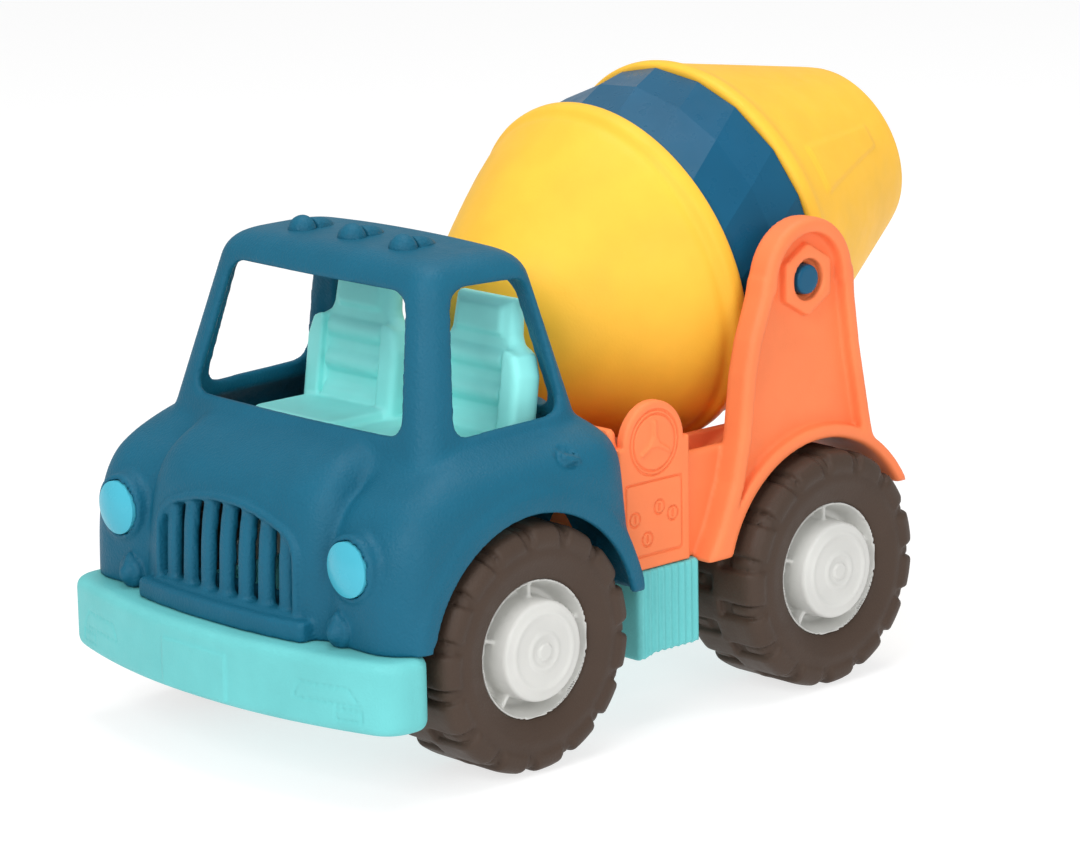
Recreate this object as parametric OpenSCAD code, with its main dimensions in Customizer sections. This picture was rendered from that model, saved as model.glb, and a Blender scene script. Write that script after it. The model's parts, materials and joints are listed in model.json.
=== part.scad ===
// Toy cement mixer truck in moulded plastic, for pushing along the floor.
// X points to the front of the truck, Y to its left side and Z up. The tyres stand on z = 0,
// and x = 0 is halfway between the bumper and the mouth of the drum. Millimetres.

/* [Wheels] */
// Outer diameter of a tyre over its lugs
tyre_d = 80; // [78:0.5:81]
// Width of a tyre
tyre_w = 35; // [30:0.5:36]
// Centreline to the outer face of a tyre
tyre_face_y = 80.5; // [80:0.1:82]
// Lugs around one side of a tyre
lugs = 15; // [10:1:18]
// Diameter of the hub, which fills the bore of the tyre
hub_d = 44; // [40:0.5:46]
// Diameter of a steel axle
axle_d = 5; // [4:0.5:6]
// Front axle, forward of the middle of the truck
front_axle_x = 76; // [75:0.5:77]
// Rear axle, behind the middle of the truck
rear_axle_x = -57; // [-58:0.5:-56]

/* [Chassis] */
// Underside of the chassis tray above the floor
tray_z = 28; // [26:0.5:30]
// Top edge of the chassis tray above the floor
tray_top_z = 50; // [49:0.5:52]
// Half width of the chassis tray, inside the wheels
tray_y = 42; // [38:0.5:43]
// Thickness of the moulded walls
wall = 3; // [2:0.5:3]
// Farthest point of the bumper
bumper_front_x = 150; // [148:0.5:152]
// Half width of the bumper
bumper_y = 79.5; // [78:0.5:80]
// Bottom of the bumper
bumper_z = 24; // [22:0.5:26]
// Height of the bumper
bumper_h = 23.5; // [20:0.5:24]

/* [Cab] */
// Height of the roof
roof_z = 160; // [158:0.5:164]
// Radius of the front wheel arches
cab_arch_r = 43; // [42:0.5:44]
// Radius of a headlight
headlight_r = 8.8; // [7:0.2:9.5]

/* [Drum] */
// Height of the drum's pivot pins
pivot_z = 137.6; // [137:0.2:139]
// Place of the pivot pins along the truck
pivot_x = -51.5; // [-52:0.5:-51]
// Angle between the drum and the floor at rest
drum_rise = 14; // [10:1:16]
// Radius of the lips on both sides of the ring
lip_r = 61; // [60:0.5:62]
// Radius of the drum's mouth
mouth_r = 31.5; // [28:0.5:34]
// Pivot to the mouth along the drum
mouth_a = 94.5; // [90:0.5:96]
// Radius of a pivot pin
pin_r = 5; // [4:0.2:5.2]

/* [Rear frame] */
// Outer face of the arms and the rear fenders
arm_face_y = 75; // [74:0.5:76]
// Thickness of an arm
arm_w = 10; // [8:0.5:11]
// Radius of the rounded top of an arm
arm_top_r = 20.5; // [18:0.5:22]
// Radius of the rear wheel arches
frame_arch_r = 43; // [42:0.5:44]

/* [Hidden] */

$fn = 96;
hull_fn = 20;
gap = 0.3;
running_fit = 0.08;
bite = 0.5;
far = 400;

axle_z = tyre_d / 2;
axle_end_y = tyre_face_y - 6;
tyre_in_y = tyre_face_y - tyre_w;

deck_top_z = tray_top_z + 4;
tray_front_x = 126;
tray_back_x = -84;
floor_top_z = tray_z + wall + 1;
cover_half_x = 12;

screw_r = 1.5;
screw_fit = 0.05;
screw_head_r = 3;
screw_head_h = 2;
screw_pass_r = 1.7;
head_pass_r = 3.4;
body_screw_h = 16;
cover_screw_h = 17;
cover_bite_h = 7;
post_r = 4;
cab_posts = [[112, 30], [42, 34]];
seat_posts = [[56, 22], [98, 22]];
frame_posts = [[20, 30], [-76, 30]];
cover_screw_dx = 7.5;
cover_screw_y = 24;

ring_front_a = -16.4;
ring_back_a = 20.1;
ring_r = 58.5;
ring_bore_r = 53;
drum_t = 2.4;
bowl_end_a = -82;

/* Shared shapes */

// Copies the children to the left side and, mirrored, to the right side
module both_sides() {
    children();
    mirror([0, 1, 0]) children();
}

// A cylinder along Y from y0 to y1, through the point x, z
module bar_y(x, z, r, y0, y1) {
    translate([x, y1, z]) rotate([90, 0, 0]) cylinder(r = r, h = y1 - y0);
}

// A flat shape drawn in X and Z, made thick from y0 to y1
module plate_xz(y0, y1) {
    translate([0, y1, 0]) rotate([90, 0, 0]) linear_extrude(y1 - y0) children();
}

// A flat shape drawn in Y and Z, made thick from x0 to x1
module plate_yz(x0, x1) {
    translate([x0, 0, 0]) rotate([90, 0, 90]) linear_extrude(x1 - x0) children();
}

// Moves a shape turned about Z so that its axis becomes the axis of the drum
module on_drum_axis() {
    translate([pivot_x, 0, pivot_z]) rotate([0, drum_rise - 90, 0]) children();
}

// Points along an arc in a drum outline, as radius and distance along the axis
function arc(c, r, from, to, steps) =
    [for (i = [0:steps]) let (t = from + (to - from) * i / steps) c + r * [cos(t), sin(t)]];

// A rectangle with round corners, from the centre
module round_rect(half_x, half_y, r) {
    square([2 * half_x, 2 * (half_y - r)], center = true);
    square([2 * (half_x - r), 2 * half_y], center = true);
    for (sx = [-1, 1], sy = [-1, 1])
        translate([sx * (half_x - r), sy * (half_y - r)]) circle(r);
}

/* Chassis */

bumper_back_x = 119;
bumper_bow_r = 240;
bumper_corner_r = 10;
bumper_plate = [15.5, 14.5];
bumper_plate_rise = 0.6;

// Plan of the bumper, drawn in by inset: a bowed front between two round corners
module bumper_plan(inset) {
    half_x = (bumper_front_x - bumper_back_x) / 2;
    intersection() {
        translate([bumper_front_x - bumper_bow_r, 0])
            circle(bumper_bow_r - inset, $fn = 360);
        translate([bumper_back_x + half_x, 0])
            round_rect(half_x - inset, bumper_y - inset, bumper_corner_r - inset);
    }
}

module bumper() {
    difference() {
        translate([0, 0, bumper_z]) linear_extrude(bumper_h) bumper_plan(0);
        translate([0, 0, bumper_z - bite])
            linear_extrude(bumper_h - wall + bite) bumper_plan(wall);
    }
    // A blank plate stands proud in the middle
    translate([bumper_front_x - wall, -bumper_plate[0], bumper_z + wall])
        cube([wall + bumper_plate_rise, 2 * bumper_plate[0], bumper_plate[1]]);
}

step_x = [-5, 22.5];
step_y = 69;
step_top_z = 52.5;
flutes = 9;
flute_r = 1;

// A side step with upright flutes in its face
module side_step() {
    pitch = (step_x[1] - step_x[0]) / flutes;
    difference() {
        translate([step_x[0], tray_y - bite, bumper_z])
            cube([step_x[1] - step_x[0], step_y - tray_y + bite, step_top_z - bumper_z]);
        translate([step_x[0] + wall, tray_y, bumper_z - bite])
            cube([step_x[1] - step_x[0] - 2 * wall, step_y - tray_y - wall, step_top_z - bumper_z - wall]);
        for (i = [0:flutes - 1])
            translate([step_x[0] + (i + 0.5) * pitch, step_y, bumper_z - bite])
                cylinder(r = flute_r, h = far, $fn = 24);
    }
}

// One screw hole from below, with its counterbore
module screw_hole(h) {
    translate([0, 0, tray_z - bite]) {
        cylinder(r = head_pass_r, h = screw_head_h + bite, $fn = 32);
        cylinder(r = screw_pass_r, h = h, $fn = 32);
    }
}

module chassis_tray() {
    length = tray_front_x - tray_back_x;
    difference() {
        translate([tray_back_x, -tray_y, tray_z]) cube([length, 2 * tray_y, tray_top_z - tray_z]);
        translate([tray_back_x + wall, wall - tray_y, floor_top_z])
            cube([length - 2 * wall, 2 * (tray_y - wall), far]);
    }
    // Solid saddle across the tray above each axle
    for (x = [front_axle_x, rear_axle_x])
        translate([x - cover_half_x - wall, -tray_y, tray_z])
            cube([2 * (cover_half_x + wall), 2 * tray_y, tray_top_z - tray_z]);
}

module chassis() {
    color("mediumturquoise") difference() {
        union() {
            chassis_tray();
            bumper();
            both_sides() side_step();
            // Ties the bumper to the tray
            translate([tray_front_x - wall, -tray_y, bumper_z])
                cube([bumper_back_x - tray_front_x + 3 * wall, 2 * tray_y, bumper_h - 1]);
        }
        for (x = [front_axle_x, rear_axle_x]) {
            translate([x - cover_half_x, -far / 2, 0]) cube([2 * cover_half_x, far, axle_z]);
            bar_y(x, axle_z, axle_d / 2 + running_fit, -tray_y - 1, tray_y + 1);
            for (dx = [-1, 1], s = [-1, 1])
                translate([x + dx * cover_screw_dx, s * cover_screw_y, axle_z - bite])
                    cylinder(r = screw_r + screw_fit, h = cover_bite_h, $fn = 32);
        }
        for (p = concat(cab_posts, seat_posts, frame_posts), s = [-1, 1])
            translate([p[0], s * p[1], 0]) screw_hole(wall + 2);
    }
}

// The cover that closes an axle into its saddle from below
module axle_cover(x) {
    color("mediumturquoise") difference() {
        translate([x - cover_half_x + gap, gap - tray_y, tray_z])
            cube([2 * (cover_half_x - gap), 2 * (tray_y - gap), axle_z - gap - tray_z]);
        bar_y(x, axle_z, axle_d / 2 + running_fit, -tray_y - 1, tray_y + 1);
        for (dx = [-1, 1], s = [-1, 1])
            translate([x + dx * cover_screw_dx, s * cover_screw_y, 0]) screw_hole(axle_z - tray_z + wall);
    }
}

module front_axle_cover() { axle_cover(front_axle_x); }
module rear_axle_cover() { axle_cover(rear_axle_x); }

// A screw with its head flush in the underside, standing up into a post
module screw(length) {
    translate([0, 0, tray_z]) cylinder(r = screw_head_r, h = screw_head_h, $fn = 32);
    translate([0, 0, tray_z + 1]) cylinder(r = screw_r, h = length, $fn = 32);
}

module body_screws() {
    color("gray") for (p = concat(cab_posts, seat_posts, frame_posts), s = [-1, 1])
        translate([p[0], s * p[1], 0]) screw(body_screw_h);
}

module axle_cover_screws() {
    color("gray") for (x = [front_axle_x, rear_axle_x], dx = [-1, 1], s = [-1, 1])
        translate([x + dx * cover_screw_dx, s * cover_screw_y, 0]) screw(cover_screw_h);
}

// A hollow post that a body screw bites into, from the tray's floor up to z1
module screw_post(p, z1) {
    difference() {
        translate([p[0], p[1], floor_top_z]) cylinder(r = post_r, h = z1 - floor_top_z, $fn = 48);
        translate([p[0], p[1], floor_top_z - bite])
            cylinder(r = screw_r + screw_fit, h = body_screw_h, $fn = 32);
    }
}

/* Seats */

tub_x = [47, 100];
tub_y = 53;
tub_z = 97;
seat_y = 29;
seat_front_x = 59;
seat_lean = 8;
seat_t = 7;
seat_bars = [2, 13, 24];
cushion = [32, 40, 3];

// Front outline of a seat back with its narrower headrest
module seat_outline() {
    translate([-21.5, 0]) square([43, 26]);
    translate([-16.5, 26]) square([33, 5]);
    for (s = [-1, 1]) translate([s * 16.5, 26]) circle(5, $fn = 48);
    translate([-13.4, 26]) square([26.8, 18]);
    translate([-10.4, 44]) square([20.8, 3]);
    for (s = [-1, 1]) translate([s * 10.4, 44]) circle(3, $fn = 32);
}

module seat() {
    translate([seat_front_x, seat_y, tub_z]) rotate([0, -seat_lean, 0]) {
        plate_yz(-seat_t, 0) translate([0, -1]) seat_outline();
        // Padded bars across the back
        for (z = seat_bars) translate([-bite, -cushion[0] / 2, z]) cube([2, cushion[0], 6]);
    }
    // The cushion in front of the back
    translate([seat_front_x - seat_t + 1, seat_y - cushion[1] / 2, tub_z - bite])
        cube([cushion[0], cushion[1], cushion[2] + bite]);
}

module seat_tub() {
    color("aquamarine") {
        translate([tub_x[0], -tub_y, tub_z - wall]) cube([tub_x[1] - tub_x[0], 2 * tub_y, wall]);
        both_sides() {
            seat();
            for (p = seat_posts) screw_post(p, tub_z - 1);
        }
    }
}

/* Cab */

cab_back_z = 50;
belt_z = 104;

// Puts a ball at each listed place and at its mirror image
module balls(places, r) {
    for (p = places, s = [-1, 1])
        translate([p[0], s * p[1], p[2]]) sphere(r, $fn = hull_fn);
}

// Roof and window pillars, drawn in by inset
module glasshouse(inset) {
    hull() {
        balls([[60, 42.5, roof_z - 8.5], [88, 41, roof_z - 8.5]], 8.5 - inset);
        balls([[45.5, 56, belt_z], [102, 53, belt_z]], 7 - inset);
    }
}

// Bonnet, fenders and doors, drawn in by inset
module cab_body(inset) {
    hull() {
        balls([[45.5, 56, belt_z - 3], [100, 54, belt_z - 3]], 7 - inset);
        balls([[41, 70, 58], [40, 70, 44], [106, 70, 60]], 8 - inset);
        balls([[120, 58, 74], [119, 64, 56], [120, 62, 40]], 14 - inset);
        balls([[127, 20, 80], [129, 20, 42]], 11 - inset);
    }
}

// Six upright slots under an arched top
module grille_slots() {
    pitch = 9.2;
    slot_w = 4.8;
    slot_z = 56;
    slot_h = 25;
    for (i = [-2.5:2.5])
        translate([bumper_back_x - 9, i * pitch - slot_w / 2, slot_z])
            cube([40, slot_w, slot_h - 0.011 * pow(i * pitch, 2)]);
}

window_corner_r = 4;

// Windshield, rear window and the two side windows
module window_openings() {
    plate_yz(88, 125) offset(r = window_corner_r)
        polygon([[-37.5, 147], [37.5, 147], [46, 112], [-46, 112]]);
    plate_yz(30, 56) offset(r = window_corner_r)
        polygon([[-39, 145], [39, 145], [47, 109], [-47, 109]]);
    plate_xz(-far / 2, far / 2) offset(r = window_corner_r)
        polygon([[57, 147], [80.5, 147.5], [89.5, 111], [53.5, 112.5]]);
}

roof_light_y = 24.5;

module roof_light(y) {
    translate([79, y, roof_z - 1]) sphere(6, $fn = 32);
}

module cab_shell() {
    color("steelblue") difference() {
        union() {
            glasshouse(0);
            cab_body(0);
            for (y = [-roof_light_y, 0, roof_light_y]) roof_light(y);
        }
        glasshouse(wall);
        cab_body(wall);
        window_openings();
        grille_slots();
        // Open underneath, and resting on the bumper in front
        translate([0, -far / 2, 0]) cube([far, far, bumper_z + bumper_h]);
        translate([0, -far / 2, 0]) cube([bumper_back_x, far, cab_back_z]);
        both_sides() {
            bar_y(front_axle_x, axle_z, cab_arch_r, tray_y + 1, far);
            headlight_seat();
        }
    }
    color("steelblue") both_sides() {
        cab_post(cab_posts[0], 112);
        cab_post(cab_posts[1], 90);
    }
}

// A screw post that runs up to the shell above it
module cab_post(p, z1) {
    intersection() {
        screw_post(p, z1);
        union() {
            cab_body(0.5);
            translate([0, -tray_y, 0]) cube([tray_front_x, 2 * tray_y, tray_top_z + 1]);
        }
    }
}

/* Headlights */

headlight_place = [133.5, 56.8, 73];

// The hole in the fender that takes a headlight
module headlight_seat() {
    translate(headlight_place - [10, 0, 0]) rotate([0, 90, 0])
        cylinder(r = headlight_r, h = 20, $fn = 64);
}

// A lens with a domed front
module headlight() {
    dome_r = 20;
    color("deepskyblue") translate(headlight_place) rotate([0, 90, 0]) intersection() {
        translate([0, 0, -8]) cylinder(r = headlight_r - 0.1, h = 14, $fn = 64);
        translate([0, 0, 3 - dome_r]) sphere(dome_r);
    }
}

module headlight_left() { headlight(); }
module headlight_right() { mirror([0, 1, 0]) headlight(); }

/* Rear frame */

bed_front_x = 32;
bed_side_y = 66;
bed_wall_z = 87;
panel_y = 69;
panel_x = [-1, 31];
gauge = [15, 94];
gauge_r = 13.5;
gauge_ring = [9.4, 10.8];
field = [3, 57.5];
field_size = [25, 23.5];
buttons = [[24, 70], [19, 62.5], [13, 72], [7, 69]];
button_r = 1.8;
arm_rim = 5;
arm_sink = 4;
arm_foot_z = 73;
fender_t = 4;
fender_tail = [-78, 62.5];
boss_r = 12.3;
boss_sink = 1.5;
pin_ring_r = 7.2;
arch_wall_z = 86;
bulkhead_z = 100;
bulkhead_scoop = [126, 46];

// Side outline of an arm and the fender below it
module arm_outline() {
    difference() {
        union() {
            translate([pivot_x, pivot_z]) circle(arm_top_r);
            difference() {
                polygon([
                    [pivot_x + arm_top_r, pivot_z + 2], [-23, 118], [-18.5, 88], [-10, 62],
                    [-4, step_top_z], [tray_back_x, step_top_z], [tray_back_x, arm_foot_z],
                    [-80.5, 88], [-75.5, 113], [pivot_x - arm_top_r, pivot_z + 1]
                ]);
                translate([rear_axle_x - far, 0]) square([far, arm_foot_z]);
            }
            // The fender ends in a curved tail behind the wheel
            intersection() {
                translate([rear_axle_x, axle_z]) circle(frame_arch_r + fender_t);
                translate(fender_tail - [far, 0]) square(far);
            }
        }
        translate([rear_axle_x, axle_z]) circle(frame_arch_r);
    }
}

module arm() {
    inner_y = arm_face_y - arm_w;
    difference() {
        plate_xz(inner_y, arm_face_y) arm_outline();
        // The face is sunk inside a raised rim
        plate_xz(arm_face_y - arm_sink, arm_face_y + 1) offset(delta = -arm_rim) arm_outline();
    }
    // Hexagonal boss around the pin
    translate([pivot_x, inner_y + bite, pivot_z]) rotate([-90, 90, 0])
        cylinder(r = boss_r, h = arm_w - bite - boss_sink, $fn = 6);
}

// The wheel arch from the tray out to the arm
module fender() {
    plate_xz(tray_y, arm_face_y - arm_w + bite) intersection() {
        arm_outline();
        translate([rear_axle_x, axle_z]) circle(frame_arch_r + wall);
    }
    // Inner wall of the wheel arch
    plate_xz(tray_y - 1, tray_y + 2) difference() {
        translate([tray_back_x, tray_top_z])
            square([step_x[0] - tray_back_x, arch_wall_z - tray_top_z]);
        translate([tray_back_x - 1, arch_wall_z - 10]) square([8, 20]);
    }
}

module side_panel() {
    difference() {
        plate_xz(bed_side_y - bite, panel_y) {
            translate([panel_x[0], deck_top_z - 1])
                square([panel_x[1] - panel_x[0], gauge[1] - deck_top_z + 1]);
            translate(gauge) circle(gauge_r);
        }
        // Shallow square field for the buttons
        plate_xz(panel_y - 1, panel_y + 1) translate(field) square(field_size);
    }
    // Gauge ring
    difference() {
        bar_y(gauge[0], gauge[1], gauge_ring[1], panel_y - bite, panel_y + 0.6);
        bar_y(gauge[0], gauge[1], gauge_ring[0], panel_y, panel_y + 1);
    }
    // Four round buttons
    for (p = buttons) bar_y(p[0], p[1], button_r, panel_y - 1 - bite, panel_y);
}

module bed() {
    // Deck over the tray, and the wider tub in front of the wheels
    translate([tray_back_x, 1 - tray_y, tray_top_z])
        cube([bed_front_x - tray_back_x, 2 * (tray_y - 1), deck_top_z - tray_top_z]);
    translate([-4, -bed_side_y, step_top_z])
        cube([bed_front_x + 4, 2 * bed_side_y, deck_top_z - step_top_z]);
    both_sides() translate([-22, bed_side_y - wall - 1, step_top_z])
        cube([bed_front_x + 22, wall + 1, bed_wall_z - step_top_z]);
    // Bulkhead behind the cab, hollowed for the nose of the drum
    difference() {
        translate([bed_front_x - wall, -bed_side_y, step_top_z])
            cube([wall, 2 * bed_side_y, bulkhead_z - step_top_z]);
        translate([bed_front_x - 10, 0, bulkhead_scoop[0]])
            rotate([0, 90, 0]) cylinder(r = bulkhead_scoop[1], h = 20);
    }
}

module rear_frame() {
    color("coral") difference() {
        union() {
            bed();
            both_sides() {
                arm();
                fender();
                side_panel();
                for (p = frame_posts) screw_post(p, deck_top_z - 1);
            }
        }
        both_sides() {
            bar_y(pivot_x, pivot_z, pin_r + running_fit, bed_side_y - 10, far / 2);
            bar_y(pivot_x, pivot_z, pin_ring_r, arm_face_y - arm_sink, far / 2);
            bar_y(rear_axle_x, axle_z, frame_arch_r, tray_y + 2, far / 2);
        }
    }
}

/* Drum */

module drum_ring() {
    color("steelblue") difference() {
        union() {
            on_drum_axis() translate([0, 0, ring_front_a + gap])
                cylinder(r = ring_r, h = ring_back_a - ring_front_a - 2 * gap);
            both_sides() {
                bar_y(pivot_x, pivot_z, pin_r + 4, 50, arm_face_y - arm_w - gap);
                bar_y(pivot_x, pivot_z, pin_r, 50, arm_face_y - 1.4);
            }
        }
        on_drum_axis() translate([0, 0, -far / 2]) cylinder(r = ring_bore_r, h = far);
    }
}

// Half section of the bowl: radius and distance along the drum
module bowl_section() {
    sleeve_r = ring_bore_r - gap;
    nose = [18, bowl_end_a + 14];
    polygon(concat(
        [[sleeve_r, 30], [sleeve_r, ring_front_a], [lip_r - 1, ring_front_a]],
        arc([lip_r - 2, ring_front_a - 2], 2, 60, -60, 6),
        [[57.5, -25.5]],
        arc(nose, 14, -30, -90, 8),
        [[0, bowl_end_a], [0, bowl_end_a + drum_t]],
        arc(nose, 14 - drum_t, -90, -30, 8),
        [[sleeve_r - drum_t, -31], [sleeve_r - drum_t, 30]]
    ));
}

// Half section of the cone with its open mouth
module cone_section() {
    sleeve_r = ring_bore_r - gap;
    polygon(concat(
        [[sleeve_r, 30], [sleeve_r, ring_back_a], [lip_r - 2, ring_back_a]],
        [[lip_r - 1, ring_back_a + 1], [lip_r - 1, ring_back_a + 3.5], [57, 28]],
        arc([mouth_r - 2.2, mouth_a - 2.2], 2.2, 20, 150, 6),
        [[mouth_r - 5.5, mouth_a - 8], [53.5, 31.5]]
    ));
}

module drum_front() {
    color("gold") on_drum_axis() rotate_extrude() bowl_section();
}

module drum_rear() {
    color("gold") on_drum_axis() rotate_extrude() cone_section();
}

/* Wheels */

module axle(x) {
    color("silver") bar_y(x, axle_z, axle_d / 2, -axle_end_y, axle_end_y);
}

module front_axle() { axle(front_axle_x); }
module rear_axle() { axle(rear_axle_x); }

// A wheel part turned to face left, with its outer face at y
module wheel_place(x) {
    translate([x, 0, axle_z]) rotate([-90, 0, 0]) children();
}

// Hub: rim tube, sunk web and raised middle disc, pressed on the axle's end
module hub(x) {
    hub_r = hub_d / 2;
    rim_y = tyre_face_y - 1.5;
    cap_y = tyre_face_y + 2;
    dish = 10;
    web_y = rim_y - 14;
    core_y = tyre_in_y + 6;
    core_r = 8;
    disc_r = 16.8;
    color("gainsboro") wheel_place(x) difference() {
        rotate_extrude() polygon([
            [0, core_y], [core_r, core_y], [core_r, web_y], [hub_r - wall, web_y],
            [hub_r - wall, tyre_in_y + 2], [hub_r, tyre_in_y + 2], [hub_r, rim_y],
            [hub_r - 2, rim_y], [hub_r - 3, rim_y - dish], [disc_r + 1, rim_y - dish],
            [disc_r, cap_y - 1], [disc_r - 1, cap_y], [0, cap_y]
        ]);
        cylinder(r = axle_d / 2, h = axle_end_y);
    }
}

// Outline of one row of lugs around a tyre
module lug_row() {
    root_r = tyre_d / 2 - 3;
    lug_w = 0.62 * 2 * PI * root_r / lugs;
    circle(root_r);
    intersection() {
        circle(tyre_d / 2);
        for (i = [0:lugs - 1]) rotate(i * 360 / lugs)
            translate([0, -lug_w / 2]) square([tyre_d, lug_w]);
    }
}

module tyre(x) {
    row_w = 15;
    groove_r = tyre_d / 2 - 3.6;
    color("saddlebrown") wheel_place(x) difference() {
        union() {
            translate([0, 0, tyre_in_y]) linear_extrude(row_w) lug_row();
            translate([0, 0, tyre_in_y + row_w - 1]) cylinder(r = groove_r, h = tyre_w - 2 * row_w + 2);
            translate([0, 0, tyre_face_y - row_w]) linear_extrude(row_w)
                rotate(180 / lugs) lug_row();
        }
        translate([0, 0, tyre_in_y - 1]) cylinder(r = hub_d / 2, h = tyre_w + 2);
        // Sidewalls dish in towards the hub
        translate([0, 0, tyre_face_y - 2]) cylinder(r1 = hub_d / 2 - 1, r2 = hub_d / 2 + 9, h = 2.5);
    }
}

module hub_front_left() { hub(front_axle_x); }
module hub_front_right() { mirror([0, 1, 0]) hub(front_axle_x); }
module hub_rear_left() { hub(rear_axle_x); }
module hub_rear_right() { mirror([0, 1, 0]) hub(rear_axle_x); }
module tyre_front_left() { tyre(front_axle_x); }
module tyre_front_right() { mirror([0, 1, 0]) tyre(front_axle_x); }
module tyre_rear_left() { tyre(rear_axle_x); }
module tyre_rear_right() { mirror([0, 1, 0]) tyre(rear_axle_x); }

chassis();
front_axle_cover();
rear_axle_cover();
seat_tub();
cab_shell();
headlight_left();
headlight_right();
rear_frame();
drum_ring();
drum_front();
drum_rear();
front_axle();
rear_axle();
hub_front_left();
hub_front_right();
hub_rear_left();
hub_rear_right();
tyre_front_left();
tyre_front_right();
tyre_rear_left();
tyre_rear_right();
body_screws();
axle_cover_screws();
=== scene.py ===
"""Toy cement mixer: the finished look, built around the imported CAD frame.

Moulded parts are solids described by signed fields in millimetres: below zero inside, above
zero outside. join, both and cut combine them with rounded edges, and skin turns one into a mesh.
"""

import itertools
import json
import math

import bpy
import numpy as np
from mathutils import Matrix, Vector


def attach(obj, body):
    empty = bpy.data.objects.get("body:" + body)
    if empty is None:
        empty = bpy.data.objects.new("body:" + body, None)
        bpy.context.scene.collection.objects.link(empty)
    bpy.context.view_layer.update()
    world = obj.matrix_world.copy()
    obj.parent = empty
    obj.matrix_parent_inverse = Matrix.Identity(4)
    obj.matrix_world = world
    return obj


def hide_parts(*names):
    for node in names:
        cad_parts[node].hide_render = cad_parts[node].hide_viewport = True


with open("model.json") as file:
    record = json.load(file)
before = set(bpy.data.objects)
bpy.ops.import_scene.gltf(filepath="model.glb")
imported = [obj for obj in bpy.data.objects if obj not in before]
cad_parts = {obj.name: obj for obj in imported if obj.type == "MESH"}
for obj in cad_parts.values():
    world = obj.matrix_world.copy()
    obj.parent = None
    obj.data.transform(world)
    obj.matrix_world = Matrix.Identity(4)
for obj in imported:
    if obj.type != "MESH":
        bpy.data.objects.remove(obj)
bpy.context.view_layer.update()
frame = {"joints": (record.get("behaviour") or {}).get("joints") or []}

MM = 0.001
COARSE = 1.0

# ---------------------------------------------------------------- fields


def both(a, b, k=0.0):
    """What two solids share, with the edge between them rounded over about k."""
    if np.ndim(k) == 0 and k <= 0:
        return np.maximum(a, b)
    overlap = np.maximum(k - np.abs(a - b), 0) / k
    return np.maximum(a, b) + overlap * overlap * (k / 4)


def join(a, b, k=0.0):
    """Two solids as one, with a fillet of about k between them."""
    return -both(-a, -b, k)


def cut(a, b, k=0.0):
    """The first solid with the second taken away."""
    return both(a, -b, k)


def slab(w, low, high, k=0.0):
    """Everything between low and high along one direction."""
    return both(low - w, w - high, k)


def outline(points, u, v, k=0.0):
    """A convex outline, its corners listed anticlockwise and rounded over about k."""
    field = None
    for (u0, v0), (u1, v1) in zip(points, points[1:] + points[:1]):
        length = math.hypot(u1 - u0, v1 - v0)
        side = ((u - u0) * (v1 - v0) - (v - v0) * (u1 - u0)) / length
        field = side if field is None else both(field, side, k)
    return field


def disc(u, v, cu, cv, r):
    """A round outline about cu, cv."""
    return np.sqrt((u - cu) ** 2 + (v - cv) ** 2) - r


def polygon(points, u, v):
    """Distance to a closed outline with straight sides, below zero inside it."""
    nearest, inside = np.float32(1e9), False
    for (u0, v0), (u1, v1) in zip(points, points[1:] + points[:1]):
        du, dv = u1 - u0, v1 - v0
        t = np.clip(((u - u0) * du + (v - v0) * dv) / (du * du + dv * dv), 0, 1)
        nearest = np.minimum(nearest, (u - u0 - t * du) ** 2 + (v - v0 - t * dv) ** 2)
        inside = inside ^ (((v0 <= v) != (v1 <= v)) & (u < u0 + (v - v0) * du / (dv or 1)))
    return np.where(inside, -1, 1) * np.sqrt(nearest)


def ball(x, y, z, centre, radii):
    """An ellipsoid. Near its surface the field is close to a distance."""
    dx, dy, dz = ((w - c) / r for w, c, r in zip((x, y, z), centre, radii))
    return (np.sqrt(dx * dx + dy * dy + dz * dz) - 1) * min(radii)


def plate(u, v, low, high, r):
    """A flat rectangle from low to high with corners of radius r."""
    du, dv = (np.abs(w - (a + b) / 2) - (b - a) / 2 + r for w, a, b in zip((u, v), low, high))
    outside = np.sqrt(np.maximum(du, 0) ** 2 + np.maximum(dv, 0) ** 2)
    return outside + np.minimum(np.maximum(du, dv), 0) - r


def rod(u, v, a, b, r):
    """A flat bar with round ends from a to b, as a solid in the plane of u and v."""
    du, dv = b[0] - a[0], b[1] - a[1]
    t = np.clip(((u - a[0]) * du + (v - a[1]) * dv) / (du * du + dv * dv), 0, 1)
    return np.sqrt((u - a[0] - t * du) ** 2 + (v - a[1] - t * dv) ** 2) - r


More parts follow.
